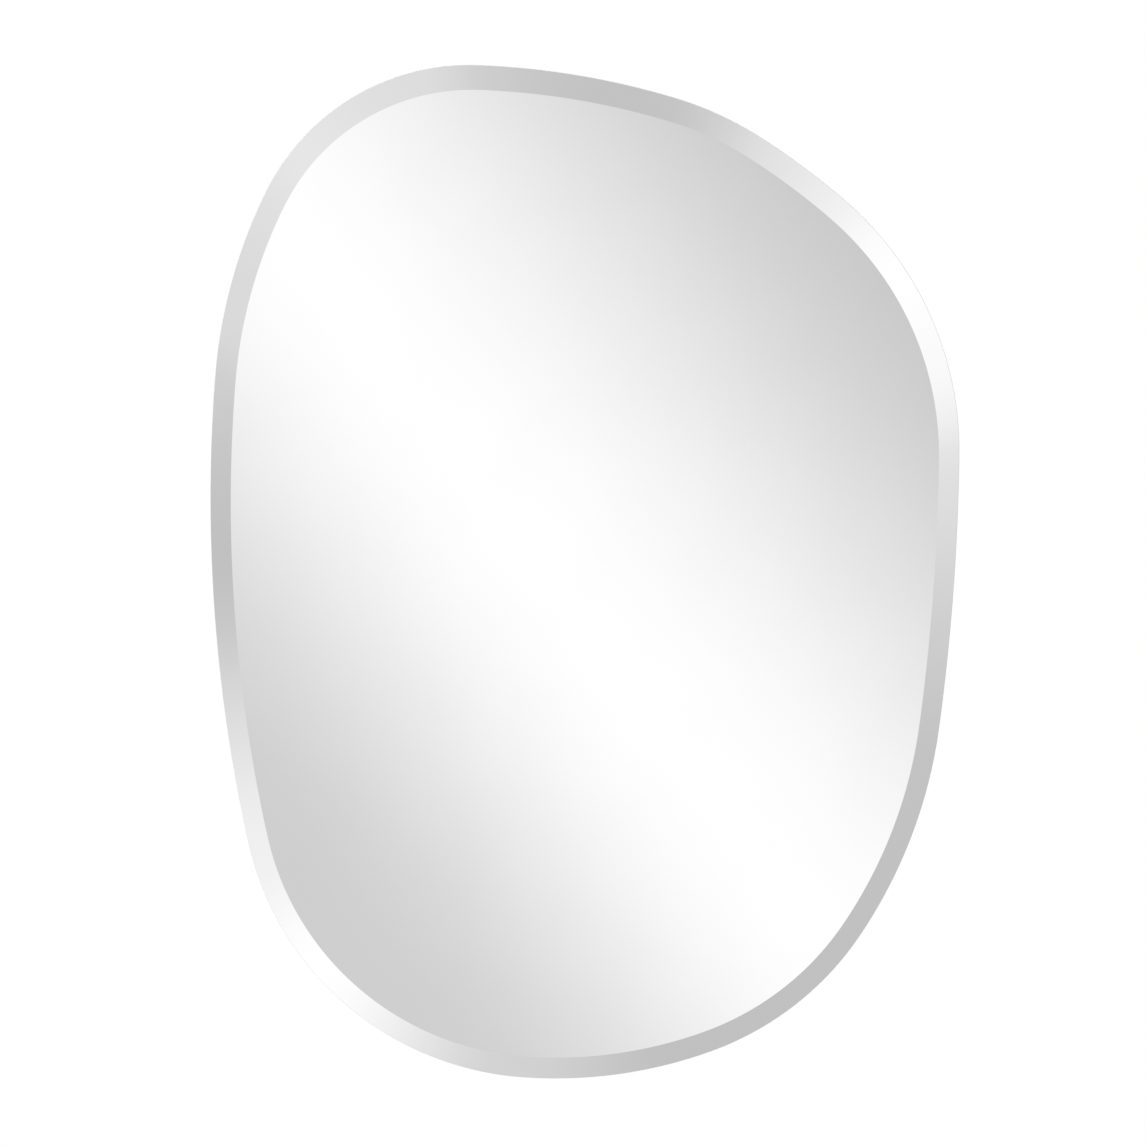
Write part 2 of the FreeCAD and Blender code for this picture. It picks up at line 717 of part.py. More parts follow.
fill_sheet()
doc.recompute()
make_glass_pane()
make_layer("silver_coating", "silver_rear", "silver_thickness", "back_arris")
make_layer("backing_paint", "paint_rear", "paint_thickness", "back_arris")
make_layer("safety_film", "film_rear", "film_thickness", "film_inset")
make_bond()
make_backing_board()
for hanger in HANGERS:
    make_strap(hanger)
    make_ring(hanger)
    for screw in SCREWS:
        make_screw(hanger, screw)
for arc in BUMPER_ARCS:
    make_bumper(arc)
doc.recompute()
check_model()
write_parts()
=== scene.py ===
import math

import bpy
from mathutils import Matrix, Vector


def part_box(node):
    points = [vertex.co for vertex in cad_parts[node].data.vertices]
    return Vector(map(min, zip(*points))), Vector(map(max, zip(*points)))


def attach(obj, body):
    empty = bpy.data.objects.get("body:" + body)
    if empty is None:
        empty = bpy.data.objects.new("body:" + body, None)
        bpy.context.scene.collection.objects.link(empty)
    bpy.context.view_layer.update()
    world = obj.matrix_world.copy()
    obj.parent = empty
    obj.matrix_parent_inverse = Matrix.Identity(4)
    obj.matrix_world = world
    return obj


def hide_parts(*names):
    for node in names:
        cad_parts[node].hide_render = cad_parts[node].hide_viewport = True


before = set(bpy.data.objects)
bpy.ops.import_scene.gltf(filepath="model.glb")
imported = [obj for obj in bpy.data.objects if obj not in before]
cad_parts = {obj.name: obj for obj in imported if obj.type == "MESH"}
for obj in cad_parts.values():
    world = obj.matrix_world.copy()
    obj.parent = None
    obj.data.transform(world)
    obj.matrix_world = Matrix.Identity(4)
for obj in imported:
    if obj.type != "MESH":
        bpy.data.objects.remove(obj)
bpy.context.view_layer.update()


# The glass pane ------------------------------------------------------------------------------
# A pane of 5 mm float glass, cut to a rounded uneven outline. The front edge is ground all
# round to a long bevel and polished, and the silver behind makes face and bevel one mirror.

MERGE_DISTANCE = 0.000001
SAME_PLACE = 0.00001
CURVE_STEPS = 8
BEVEL_RUN = 0.0116
BEVEL_DRAW_IN = 0.979
BEVEL_DRAW_IN_TO = (0.016, 0, -0.034)
BEVEL_DROP = 0.003
FRONT_ARRIS = 0.0003
REAR_ARRIS = 0.0005
BEVEL_LINE_ANGLE = math.radians(7)
EDGE_FACING = 0.9
EDGE_FINISH = 1
ARRIS_FINISH = 2
MIRROR_CLEAR = (0.985, 0.985, 0.985, 1.0)
MIRROR_HAZY = (0.975, 0.975, 0.975, 1.0)
MIRROR_ROUGHNESS = (0.004, 0.016)
POLISH_SPECKS = 900.0
FLOAT_WAVES = 14.0
FLOAT_WAVE_DEPTH = 0.000004
GLASS_EDGE_DEEP = (0.055, 0.16, 0.12, 1.0)
GLASS_EDGE_GREEN = (0.14, 0.31, 0.25, 1.0)
# The pale tone is a painted gleam on the glass edge, towards its front and rear.
GLASS_EDGE_PAINTED_GLEAM = (0.42, 0.60, 0.53, 1.0)
GLASS_EDGE_ROUGHNESS = (0.04, 0.16)
GLASS_EDGE_COAT = 0.8
GLASS_EDGE_COAT_ROUGHNESS = 0.03
GLASS_EDGE_CLOUDS = 35.0
CLOUD_SHARE = 0.6
GRINDING_MARKS = 500.0
GRINDING_DEPTH = 0.00002
ARRIS_PALE = (0.78, 0.78, 0.775, 1.0)
ARRIS_GREY = (0.70, 0.705, 0.70, 1.0)
ARRIS_ROUGHNESS = (0.5, 0.7)
FROST_GRAINS = 1200.0
FROST_DEPTH = 0.00001


def pick(piece):
    """Makes this the only selected object, and the active one."""
    bpy.ops.object.select_all(action="DESELECT")
    piece.select_set(True)
    bpy.context.view_layer.objects.active = piece


def edit(piece):
    pick(piece)
    bpy.ops.object.mode_set(mode="EDIT")


def select_points(piece, wanted):
    """Leaves edit mode, selects the points that wanted() says yes to, and goes back."""
    bpy.ops.mesh.select_mode(type="VERT")
    bpy.ops.mesh.select_all(action="DESELECT")
    bpy.ops.object.mode_set(mode="OBJECT")
    for point in piece.data.vertices:
        point.select = wanted(point.co)
    bpy.ops.object.mode_set(mode="EDIT")


def select_faces(piece, wanted):
    """Leaves edit mode, selects the faces that wanted() says yes to, and goes back."""
    bpy.ops.mesh.select_mode(type="FACE")
    bpy.ops.mesh.select_all(action="DESELECT")
    bpy.ops.object.mode_set(mode="OBJECT")
    for face in piece.data.polygons:
        face.select = wanted(face)
    bpy.ops.object.mode_set(mode="EDIT")


def close_up(corner_angle):
    """Turns all faces outwards, goes back to object mode and smooths all but the corners."""
    bpy.ops.mesh.select_all(action="SELECT")
    bpy.ops.mesh.normals_make_consistent(inside=False)
    bpy.ops.object.mode_set(mode="OBJECT")
    bpy.ops.object.shade_smooth_by_angle(angle=corner_angle)


def corners_of(node):
    """The lowest and the highest corner of a node's box."""
    low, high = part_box(node)
    return Vector(low), Vector(high)


def copy_of_node(node, name):
    """A copy of a node's mesh with its loose triangles joined."""
    piece = bpy.data.objects.new(name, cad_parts[node].data.copy())
    bpy.context.collection.objects.link(piece)
    edit(piece)
    bpy.ops.mesh.select_all(action="SELECT")
    bpy.ops.mesh.remove_doubles(threshold=MERGE_DISTANCE)
    bpy.ops.object.mode_set(mode="OBJECT")
    return piece


def move_out(distance):
    """Moves what is selected along Y, towards the wall where distance is positive."""
    bpy.ops.transform.translate(value=(0, distance, 0))


def push_out(distance):
    """Extrudes what is selected along Y."""
    bpy.ops.mesh.extrude_region_move(TRANSFORM_OT_translate={"value": (0, distance, 0)})


def draw_in(width):
    """Insets the selected faces by the same width all round."""
    bpy.ops.mesh.inset(thickness=width, use_even_offset=True)


def new_finish(name, metallic=0.0):
    """A material with its node tree, its shader and the coordinates that patterns follow."""
    finish = bpy.data.materials.new(name)
    finish.use_nodes = True
    tree = finish.node_tree
    shader = tree.nodes["Principled BSDF"]
    shader.inputs["Metallic"].default_value = metallic
    place = tree.nodes.new("ShaderNodeTexCoord").outputs["Object"]
    return finish, tree, shader, place


def add_noise(tree, place, scale, detail=4.0, stretch=(1, 1, 1), distortion=0.0):
    """Noise with about scale clouds to a metre, drawn out along an axis where stretch is under 1."""
    drawn_out = tree.nodes.new("ShaderNodeMapping")
    drawn_out.inputs["Scale"].default_value = stretch
    tree.links.new(place, drawn_out.inputs["Vector"])
    noise = tree.nodes.new("ShaderNodeTexNoise")
    noise.inputs["Scale"].default_value = scale
    noise.inputs["Detail"].default_value = detail
    noise.inputs["Distortion"].default_value = distortion
    tree.links.new(drawn_out.outputs["Vector"], noise.inputs["Vector"])
    return noise.outputs["Fac"]


def add_parts(tree, vector):
    """The X, Y and Z of a vector."""
    parts = tree.nodes.new("ShaderNodeSeparateXYZ")
    tree.links.new(vector, parts.inputs["Vector"])
    return parts.outputs


def add_range(tree, value, low, high, start=0.3, end=0.7):
    """Spreads a value over low to high. Most noise lies between the usual start and end."""
    spread = tree.nodes.new("ShaderNodeMapRange")
    spread.inputs["From Min"].default_value = start
    spread.inputs["From Max"].default_value = end
    spread.inputs["To Min"].default_value = low
    spread.inputs["To Max"].default_value = high
    tree.links.new(value, spread.inputs["Value"])
    return spread.outputs["Result"]


def add_tones(tree, value, *stops):
    """A ramp of colours, each given as (place from 0 to 1, colour)."""
    ramp = tree.nodes.new("ShaderNodeValToRGB")
    tones = ramp.color_ramp.elements
    while len(tones) < len(stops):
        tones.new(0.5)
    for tone, (place, colour) in zip(tones, stops):
        tone.position = place
        tone.color = colour
    tree.links.new(value, ramp.inputs["Fac"])
    return ramp.outputs["Color"]


def mix_colours(tree, share, first, second):
    """Mixes two colours or colour outputs by a share that is an output."""
    mix = tree.nodes.new("ShaderNodeMix")
    mix.data_type = "RGBA"
    tree.links.new(share, mix.inputs["Factor"])
    for socket, colour in ((mix.inputs["A"], first), (mix.inputs["B"], second)):
        if isinstance(colour, tuple):
            socket.default_value = colour
        else:
            tree.links.new(colour, socket)
    return mix.outputs["Result"]


def set_colour(tree, shader, tones):
    tree.links.new(tones, shader.inputs["Base Color"])


def set_roughness(tree, shader, pattern, span, **spread):
    """Lets the roughness follow a pattern, over a span of (low, high)."""
    tree.links.new(add_range(tree, pattern, *span, **spread), shader.inputs["Roughness"])


def add_bump(tree, height, depth, shader, under=None):
    """Raises the surface by up to depth metres where height is 1, on top of the bump under it."""
    bump = tree.nodes.new("ShaderNodeBump")
    bump.inputs["Strength"].default_value = 1.0
    bump.inputs["Distance"].default_value = depth
    tree.links.new(height, bump.inputs["Height"])
    if under:
        tree.links.new(under, bump.inputs["Normal"])
    tree.links.new(bump.outputs["Normal"], shader.inputs["Normal"])
    return bump.outputs["Normal"]


def silvered_glass():
    """A clean mirror, with a trace of haze and of the waves that float glass has."""
    finish, tree, shader, place = new_finish("silvered_glass", metallic=1.0)
    haze = add_noise(tree, place, POLISH_SPECKS)
    set_roughness(tree, shader, haze, MIRROR_ROUGHNESS)
    waves = add_noise(tree, place, FLOAT_WAVES, detail=1.0)
    set_colour(tree, shader, add_tones(tree, waves, (0.3, MIRROR_CLEAR), (0.7, MIRROR_HAZY)))
    add_bump(tree, waves, FLOAT_WAVE_DEPTH, shader)
    return finish


def glass_edge(front, rear):
    """The pane's side, from front to rear along Y: light travels far in it, so it looks green."""
    finish, tree, shader, place = new_finish("glass_edge")
    through = add_range(tree, add_parts(tree, place)["Y"], 0.0, 1.0, start=front, end=rear)
    # Painted light: the side is painted paler towards its front and rear, as a painted gleam, and
    # deep green in the middle.
    tones = add_tones(
        tree,
        through,
        (0.0, GLASS_EDGE_PAINTED_GLEAM),
        (0.3, GLASS_EDGE_GREEN),
        (0.55, GLASS_EDGE_DEEP),
        (0.85, GLASS_EDGE_GREEN),
        (1.0, GLASS_EDGE_PAINTED_GLEAM),
    )
    clouds = add_noise(tree, place, GLASS_EDGE_CLOUDS, stretch=(1, 0.2, 1), distortion=0.4)
    shade = add_range(tree, clouds, 0.0, CLOUD_SHARE)
    set_colour(tree, shader, mix_colours(tree, shade, tones, GLASS_EDGE_DEEP))
    shader.inputs["Coat Weight"].default_value = GLASS_EDGE_COAT
    shader.inputs["Coat Roughness"].default_value = GLASS_EDGE_COAT_ROUGHNESS
    grinding = add_noise(tree, place, GRINDING_MARKS, stretch=(0.3, 4, 0.3))
    set_roughness(tree, shader, grinding, GLASS_EDGE_ROUGHNESS)
    add_bump(tree, grinding, GRINDING_DEPTH, shader)
    return finish


def ground_glass():
    """The front arris: a narrow flat ground on the sharp edge, which stays frosted."""
    finish, tree, shader, place = new_finish("ground_glass")
    frost = add_noise(tree, place, FROST_GRAINS, detail=3.0)
    set_colour(tree, shader, add_tones(tree, frost, (0.3, ARRIS_GREY), (0.7, ARRIS_PALE)))
    set_roughness(tree, shader, frost, ARRIS_ROUGHNESS)
    add_bump(tree, frost, FROST_DEPTH, shader)
    return finish


# Depths along Y. The node's bevel meets its side at bevel_foot. Here a front arris, from
# bevel_end to side_start, takes the place of that corner.
glass_low, glass_high = corners_of("glass_pane")
face_depth = glass_low.y
bevel_foot = face_depth + BEVEL_DROP
bevel_end = bevel_foot - BEVEL_DROP * FRONT_ARRIS / BEVEL_RUN
side_start = bevel_foot + FRONT_ARRIS
side_end = glass_high.y - REAR_ARRIS

# The cut outline is read from the pane and drawn as one smooth closed curve.
outline = copy_of_node("glass_pane", "outline")
edit(outline)
select_points(outline, lambda co: abs(co.y - bevel_foot) > SAME_PLACE)
bpy.ops.mesh.delete(type="VERT")
bpy.ops.object.mode_set(mode="OBJECT")
bpy.ops.object.convert(target="CURVE")
outline = bpy.context.active_object
outline.data.materials.clear()
bpy.ops.object.mode_set(mode="EDIT")
bpy.ops.curve.select_all(action="SELECT")
bpy.ops.curve.spline_type_set(type="BEZIER")
bpy.ops.curve.handle_type_set(type="AUTOMATIC")
bpy.ops.object.mode_set(mode="OBJECT")
outline.data.resolution_u = CURVE_STEPS
bpy.ops.object.convert(target="MESH")
outline = bpy.context.active_object
bpy.ops.object.mode_set(mode="EDIT")
bpy.ops.mesh.select_all(action="SELECT")
bpy.ops.mesh.remove_doubles(threshold=MERGE_DISTANCE)
bpy.ops.mesh.edge_face_add()
bpy.ops.object.mode_set(mode="OBJECT")


def sheet_in_outline(name, inset, depth):
    """A flat sheet with the pane's outline drawn in by inset, at its place along Y."""
    pick(outline)
    bpy.ops.object.duplicate()
    sheet = bpy.context.active_object
    sheet.name = name
    sheet.data.name = name
    bpy.ops.object.mode_set(mode="EDIT")
    bpy.ops.mesh.select_mode(type="FACE")
    bpy.ops.mesh.select_all(action="SELECT")
    if inset:
        draw_in(inset)
        bpy.ops.mesh.select_all(action="INVERT")
        bpy.ops.mesh.delete(type="FACE")
        bpy.ops.mesh.select_all(action="SELECT")
    move_out(depth - bevel_foot)
    return sheet


pane = sheet_in_outline("mirror_pane", 0, side_start)
push_out(side_end - side_start)
draw_in(REAR_ARRIS)
move_out(REAR_ARRIS)
select_faces(pane, lambda face: face.center.y < side_start + SAME_PLACE)
draw_in(FRONT_ARRIS)
move_out(bevel_end - side_start)
draw_in(BEVEL_RUN - FRONT_ARRIS)
bpy.ops.transform.resize(
    value=(BEVEL_DRAW_IN, 1, BEVEL_DRAW_IN), center_override=BEVEL_DRAW_IN_TO
)
move_out(face_depth - bevel_end)
close_up(BEVEL_LINE_ANGLE)
for finish in (silvered_glass(), glass_edge(bevel_foot, glass_high.y), ground_glass()):
    pane.data.materials.append(finish)
for face in pane.data.polygons:
    if abs(face.normal.y) < EDGE_FACING:
        face.material_index = ARRIS_FINISH if face.center.y < side_start else EDGE_FINISH
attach(pane, "mirror")
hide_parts("glass_pane")


# The silver ----------------------------------------------------------------------------------
# A thin coat of silver, laid on the clean back of the glass from a bath. It stops just short
# of the edge, so that no damp creeps in there.

SILVER_BRIGHT = (0.93, 0.93, 0.92, 1.0)
SILVER_DULL = (0.80, 0.79, 0.76, 1.0)
SILVER_ROUGHNESS = (0.28, 0.12)
SILVER_CLOUDS = 30.0


def silver_coat():
    finish, tree, shader, place = new_finish("silver_coat", metallic=1.0)
    clouds = add_noise(tree, place, SILVER_CLOUDS)
    set_colour(tree, shader, add_tones(tree, clouds, (0.35, SILVER_DULL), (0.6, SILVER_BRIGHT)))
    set_roughness(tree, shader, clouds, SILVER_ROUGHNESS)
    return finish


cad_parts["silver_coating"].material_slots[0].material = silver_coat()


# The backing paint ---------------------------------------------------------------------------
# Grey paint that is curtain coated over the silver and baked, to keep it from tarnishing. It
# shows from behind as a narrow ring round the film.

PAINT_DARK = (0.115, 0.125, 0.13, 1.0)
PAINT_LIGHT = (0.175, 0.185, 0.19, 1.0)
PAINT_ROUGHNESS = (0.42, 0.58)
PAINT_CLOUDS = 60.0
ORANGE_PEEL = 700.0
ORANGE_PEEL_DEPTH = 0.00003


def layer_of(node, name):
    """A flat layer in the pane's outline, with the inset and the thickness of its node."""
    low, high = corners_of(node)
    layer = sheet_in_outline(name, low.x - glass_low.x, low.y)
    push_out(high.y - low.y)
    close_up(BEVEL_LINE_ANGLE)
    return layer


def baked_paint():
    finish, tree, shader, place = new_finish("baked_paint")
    clouds = add_noise(tree, place, PAINT_CLOUDS, detail=6.0)
    set_colour(tree, shader, add_tones(tree, clouds, (0.35, PAINT_DARK), (0.65, PAINT_LIGHT)))
    orange_peel = add_noise(tree, place, ORANGE_PEEL, detail=1.0)
    set_roughness(tree, shader, orange_peel, PAINT_ROUGHNESS)
    add_bump(tree, orange_peel, ORANGE_PEEL_DEPTH, shader)
    return finish


paint = layer_of("backing_paint", "backing_paint_coat")
paint.data.materials.append(baked_paint())
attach(paint, "mirror")
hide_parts("backing_paint")


# The safety film -----------------------------------------------------------------------------
# A tough plastic film with reinforcing threads, rolled onto the paint with its own glue. It
# holds the pieces together if the glass breaks.

FILM_PALE = (0.47, 0.53, 0.56, 1.0)
FILM_DEEP = (0.37, 0.43, 0.47, 1.0)
FILM_ROUGHNESS = (0.28, 0.44)
FILM_CLOUDS = 9.0
FILM_CRINKLES = 45.0
CRINKLE_DEPTH = 0.0001
FILM_THREAD = (0.60, 0.64, 0.66, 1.0)
THREADS_PER_METRE = 160.0
THREAD_WANDER = 0.35
THREAD_FLANK = 0.86
THREAD_CREST = 0.99
THREAD_DEPTH = 0.00008


def add_threads(tree, place, direction):
    """Thin threads side by side, 1 on a thread and 0 between."""
    threads = tree.nodes.new("ShaderNodeTexWave")
    threads.wave_type = "BANDS"
    threads.bands_direction = direction
    threads.wave_profile = "SIN"
    # At a scale of 1 the texture has 10 / pi bands to a metre.
    threads.inputs["Scale"].default_value = THREADS_PER_METRE * math.pi / 10
    threads.inputs["Distortion"].default_value = THREAD_WANDER
    threads.inputs["Detail"].default_value = 1.0
    threads.inputs["Detail Scale"].default_value = 0.6
    tree.links.new(place, threads.inputs["Vector"])
    return add_range(tree, threads.outputs["Fac"], 0.0, 1.0, THREAD_FLANK, THREAD_CREST)


def add_maths(tree, operation, first, second):
    """One sum on two values, each a number or an output."""
    node = tree.nodes.new("ShaderNodeMath")
    node.operation = operation
    for socket, value in zip(node.inputs, (first, second)):
        if isinstance(value, float):
            socket.default_value = value
        else:
            tree.links.new(value, socket)
    return node.outputs["Value"]


def threaded_film():
    finish, tree, shader, place = new_finish("threaded_film")
    clouds = add_noise(tree, place, FILM_CLOUDS, detail=5.0)
    ground = add_tones(tree, clouds, (0.3, FILM_DEEP), (0.7, FILM_PALE))
    threads = add_maths(
        tree, "MAXIMUM", add_threads(tree, place, "X"), add_threads(tree, place, "Z")
    )
    set_colour(tree, shader, mix_colours(tree, threads, ground, FILM_THREAD))
    crinkles = add_noise(tree, place, FILM_CRINKLES, detail=3.0, distortion=0.8)
    set_roughness(tree, shader, crinkles, FILM_ROUGHNESS)
    crinkled = add_bump(tree, crinkles, CRINKLE_DEPTH, shader)
    add_bump(tree, threads, THREAD_DEPTH, shader, under=crinkled)
    return finish


film = layer_of("safety_film", "safety_film_sheet")
film.data.materials.append(threaded_film())
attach(film, "mirror")
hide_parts("safety_film")


# The foam tapes ------------------------------------------------------------------------------
# Four lengths of double-sided foam tape between the film and the board. They hold at once,
# while the adhesive between them cures.

# The darker tone is painted shade in the hollow of each cell, where the bump sinks.
FOAM_PIT_SHADE = (0.60, 0.60, 0.57, 1.0)
FOAM_SKIN = (0.80, 0.80, 0.77, 1.0)
FOAM_ROUGHNESS = 0.8
FOAM_CELLS = 2500.0
FOAM_CELL_DEPTH = 0.0001


def closed_cell_foam():
    finish, tree, shader, place = new_finish("closed_cell_foam")
    voronoi = tree.nodes.new("ShaderNodeTexVoronoi")
    voronoi.inputs["Scale"].default_value = FOAM_CELLS
    tree.links.new(place, voronoi.inputs["Vector"])
    # Painted shade: each cell is painted darker towards its hollow, where the bump is lowest.
    cells = voronoi.outputs["Distance"]
    set_colour(tree, shader, add_tones(tree, cells, (0.1, FOAM_PIT_SHADE), (0.6, FOAM_SKIN)))
    shader.inputs["Roughness"].default_value = FOAM_ROUGHNESS
    add_bump(tree, cells, FOAM_CELL_DEPTH, shader)
    return finish


foam = closed_cell_foam()
for side in ("left", "right", "upper", "lower"):
    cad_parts[f"foam_tape_{side}"].material_slots[0].material = foam


# The adhesive --------------------------------------------------------------------------------
# Three upright beads of mirror adhesive, squeezed flat between the film and the board. Air
# gets in between them, so that they cure.

ADHESIVE_PALE = (0.70, 0.69, 0.65, 1.0)
ADHESIVE_DEEP = (0.56, 0.55, 0.51, 1.0)
ADHESIVE_ROUGHNESS = (0.35, 0.6)
ADHESIVE_LUMPS = 160.0
LUMP_DEPTH = 0.0003


def cured_adhesive():
    finish, tree, shader, place = new_finish("cured_adhesive")
    lumps = add_noise(tree, place, ADHESIVE_LUMPS, detail=3.0)
    tones = add_tones(tree, lumps, (0.35, ADHESIVE_DEEP), (0.65, ADHESIVE_PALE))
    set_colour(tree, shader, tones)
    set_roughness(tree, shader, lumps, ADHESIVE_ROUGHNESS)
    add_bump(tree, lumps, LUMP_DEPTH, shader)
    return finish


adhesive = cured_adhesive()
for side in ("left", "middle", "right"):
    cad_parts[f"adhesive_bead_{side}"].material_slots[0].material = adhesive


# The backing board ---------------------------------------------------------------------------
# 9 mm fibreboard, routed to the pane's outline well inside its edge, with the rear edge
# chamfered. The pane is glued to its front, and the hangers are screwed to its back.

BOARD_CHAMFER = 0.002
BOARD_CORNER_ANGLE = math.radians(30)
FLAT_FACING = 0.99
BOARD_PALE = (0.43, 0.305, 0.188, 1.0)
BOARD_BROWN = (0.40, 0.28, 0.17, 1.0)
BOARD_ROUGHNESS = (0.75, 0.58)
BOARD_CLOUDS = 45.0
FIBRE_PALE = (0.56, 0.42, 0.28, 1.0)
FIBRE_DARK = (0.25, 0.165, 0.095, 1.0)
# Each lot of fibres lies at its own turn, in degrees, and has its own colour.
FIBRES = (
    (20, FIBRE_PALE),
    (74, FIBRE_DARK),
    (108, FIBRE_PALE),
    (163, FIBRE_DARK),
    (47, FIBRE_DARK),
    (139, FIBRE_PALE),
)
FIBRES_PER_METRE = 1500.0
FIBRE_FLANK = 0.56
FIBRE_CREST = 0.74
FIBRE_SHARE = 0.4
FIBRE_DEPTH = 0.00003
BOARD_EDGE_PALE = (0.34, 0.23, 0.135, 1.0)
BOARD_EDGE_DEEP = (0.25, 0.162, 0.09, 1.0)
BOARD_EDGE_ROUGHNESS = 0.85
PRESSED_LAYERS = 900.0
ROUTED_FUZZ = 1800.0
FUZZ_DEPTH = 0.00015


def add_fibres(tree, place, turn):
    """Short wavy fibres lying at the given turn, 1 on a fibre and 0 between."""
    along = tree.nodes.new("ShaderNodeMapping")
    along.inputs["Rotation"].default_value = (0, math.radians(turn), 0)
    tree.links.new(place, along.inputs["Vector"])
    turned = along.outputs["Vector"]
    fibres = add_noise(
        tree, turned, FIBRES_PER_METRE, detail=1.0, stretch=(0.2, 1, 1), distortion=1.2
    )
    return add_range(tree, fibres, 0.0, 1.0, FIBRE_FLANK, FIBRE_CREST)


def sanded_fibreboard():
    """The sanded faces: short pressed fibres, paler and darker ones, lying all ways."""
    finish, tree, shader, place = new_finish("sanded_fibreboard")
    clouds = add_noise(tree, place, BOARD_CLOUDS, detail=8.0)
    tones = add_tones(tree, clouds, (0.3, BOARD_BROWN), (0.7, BOARD_PALE))
    all_fibres = 0.0
    for turn, colour in FIBRES:
        fibres = add_fibres(tree, place, turn)
        share = add_maths(tree, "MULTIPLY", fibres, FIBRE_SHARE)
        tones = mix_colours(tree, share, tones, colour)
        all_fibres = add_maths(tree, "MAXIMUM", fibres, all_fibres)
    set_colour(tree, shader, tones)
    set_roughness(tree, shader, all_fibres, BOARD_ROUGHNESS, start=0.0, end=1.0)
    add_bump(tree, all_fibres, FIBRE_DEPTH, shader)
    return finish


def routed_fibreboard():
    """The routed edge: open fibres in fine layers, darker than the faces."""
    finish, tree, shader, place = new_finish("routed_fibreboard")
    layers = add_noise(tree, place, PRESSED_LAYERS, stretch=(0.5, 2.5, 0.5))
    tones = add_tones(tree, layers, (0.3, BOARD_EDGE_DEEP), (0.7, BOARD_EDGE_PALE))
    set_colour(tree, shader, tones)
    shader.inputs["Roughness"].default_value = BOARD_EDGE_ROUGHNESS
    fuzz = add_noise(tree, place, ROUTED_FUZZ, detail=2.0)
    add_bump(tree, fuzz, FUZZ_DEPTH, shader)
    return finish


board_low, board_high = corners_of("backing_board")
board = sheet_in_outline("backing_board_routed", board_low.x - glass_low.x, board_low.y)
push_out(board_high.y - board_low.y - BOARD_CHAMFER)
draw_in(BOARD_CHAMFER)
move_out(BOARD_CHAMFER)
close_up(BOARD_CORNER_ANGLE)
board.data.materials.append(sanded_fibreboard())
board.data.materials.append(routed_fibreboard())
for face in board.data.polygons:
    face.material_index = 0 if abs(face.normal.y) > FLAT_FACING else 1
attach(board, "mirror")
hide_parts("backing_board")

# No other piece follows the pane's outline.
bpy.data.objects.remove(outline)


# The hanger straps ---------------------------------------------------------------------------
# Zinc-plated steel strip, 1 mm thick, folded double round the ring's bar and punched for two
# screws. Two hang the mirror upright, and two on the right hang it on its side.

HANGERS = ("top_left", "top_right", "side_upper", "side_lower")
SHEARED_EDGE = 0.00012
FLAT_ANGLE = math.radians(1)
STRAP_CORNER_ANGLE = math.radians(35)
ZINC_BRIGHT = (0.66, 0.67, 0.68, 1.0)
ZINC_DULL = (0.48, 0.49, 0.51, 1.0)
ZINC_YELLOW = (0.62, 0.60, 0.54, 1.0)
ZINC_ROUGHNESS = (0.24, 0.46)
ZINC_CLOUDS = 120.0
ROLLING_SCUFFS = 1500.0
SCUFF_DEPTH = 0.00001


def soften(piece, width, corner_angle):
    """Rounds the corners of the active piece a little, and smooths all but its flat faces."""
    rounding = piece.modifiers.new("rounding", "BEVEL")
    rounding.width = width
    rounding.segments = 2
    rounding.limit_method = "ANGLE"
    rounding.angle_limit = corner_angle
    bpy.ops.object.modifier_apply(modifier=rounding.name)
    bpy.ops.object.shade_smooth_by_angle(angle=corner_angle)
    flats = piece.modifiers.new("flats", "WEIGHTED_NORMAL")
    flats.keep_sharp = True
    bpy.ops.object.modifier_apply(modifier=flats.name)


def rolled_zinc():
    """Plated strip: a cloudy passivated coat with small upright scuffs."""
    finish, tree, shader, place = new_finish("rolled_zinc", metallic=1.0)
    clouds = add_noise(tree, place, ZINC_CLOUDS, detail=5.0)
    coat = add_tones(
        tree, clouds, (0.3, ZINC_DULL), (0.55, ZINC_BRIGHT), (0.75, ZINC_YELLOW)
    )
    set_colour(tree, shader, coat)
    scuffs = add_noise(tree, place, ROLLING_SCUFFS, detail=3.0, stretch=(1, 1, 0.15))
    set_roughness(tree, shader, scuffs, ZINC_ROUGHNESS)
    add_bump(tree, scuffs, SCUFF_DEPTH, shader)
    return finish


zinc = rolled_zinc()
for hanger in HANGERS:
    strap = copy_of_node(f"hanger_strap_{hanger}", f"folded_strap_{hanger}")
    edit(strap)
    bpy.ops.mesh.select_all(action="SELECT")
    bpy.ops.mesh.dissolve_limited(angle_limit=FLAT_ANGLE)
    bpy.ops.object.mode_set(mode="OBJECT")
    soften(strap, SHEARED_EDGE, STRAP_CORNER_ANGLE)
    strap.data.materials.clear()
    strap.data.materials.append(zinc)
    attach(strap, "mirror")
    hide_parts(f"hanger_strap_{hanger}")


# The D-rings ---------------------------------------------------------------------------------
# Round wire, 3 mm thick, bent to a D whose ends meet on the bar, and zinc plated. The bar
# turns in the strap's fold.

RING_CORNER_ANGLE = math.radians(50)
WIRE_BRIGHT = (0.72, 0.73, 0.74, 1.0)
WIRE_DULL = (0.52, 0.53, 0.55, 1.0)
WIRE_ROUGHNESS = (0.18, 0.36)
WIRE_CLOUDS = 200.0
WIRE_RUBS = 900.0
RUB_DEPTH = 0.00001


def drawn_wire():
    finish, tree, shader, place = new_finish("drawn_wire", metallic=1.0)
    clouds = add_noise(tree, place, WIRE_CLOUDS, detail=5.0)
    set_colour(tree, shader, add_tones(tree, clouds, (0.3, WIRE_DULL), (0.6, WIRE_BRIGHT)))
    rubs = add_noise(tree, place, WIRE_RUBS, detail=2.0)
    set_roughness(tree, shader, rubs, WIRE_ROUGHNESS)
    add_bump(tree, rubs, RUB_DEPTH, shader)
    return finish


